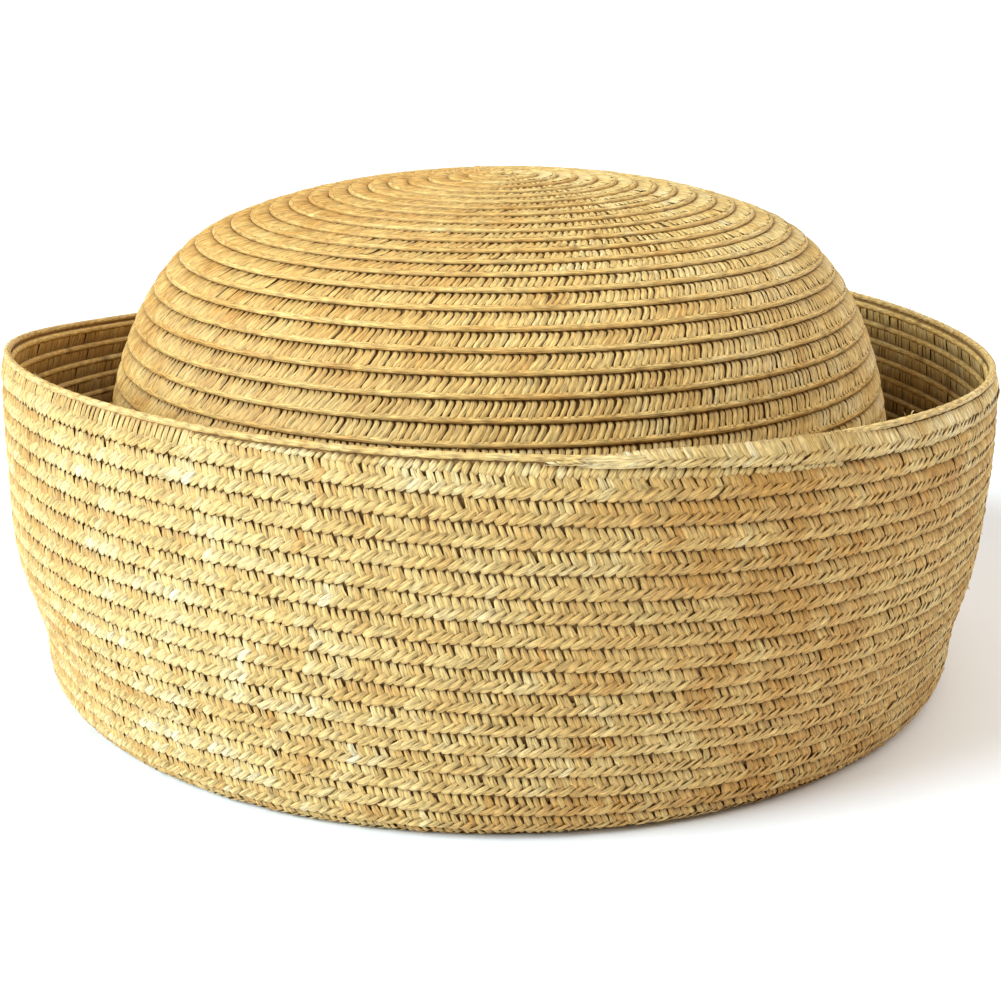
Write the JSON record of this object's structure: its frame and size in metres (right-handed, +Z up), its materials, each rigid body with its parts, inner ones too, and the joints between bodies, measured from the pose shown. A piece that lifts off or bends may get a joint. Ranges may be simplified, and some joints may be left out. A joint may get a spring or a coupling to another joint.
{
  "type": "straw hat with upturned brim",
  "caption": "Sewn straw-braid hat with a hollow domed crown, a deep brim turned up all round it, an edge cord and a lapped last row; stands on the fold of its brim.",
  "frame": {"origin": "middle of the head opening, on the surface that the fold of the brim stands on", "axes": "+Z up through the crown, +X to the right of the hat seen from its front, -Y towards its front"},
  "size_m": [0.2152, 0.2307, 0.1075],
  "materials": {
    "crown_braid": "matte sewn paper-straw braid",
    "brim_braid": "matte sewn paper-straw braid",
    "rim_cord": "matte smooth straw cord",
    "lap_braid": "matte sewn paper-straw braid"
  },
  "bodies": {
    "root": {"crown": "crown_braid", "brim": "brim_braid", "edge_cord": "rim_cord", "lapped_row": "lap_braid"}
  },
  "joints": []
}
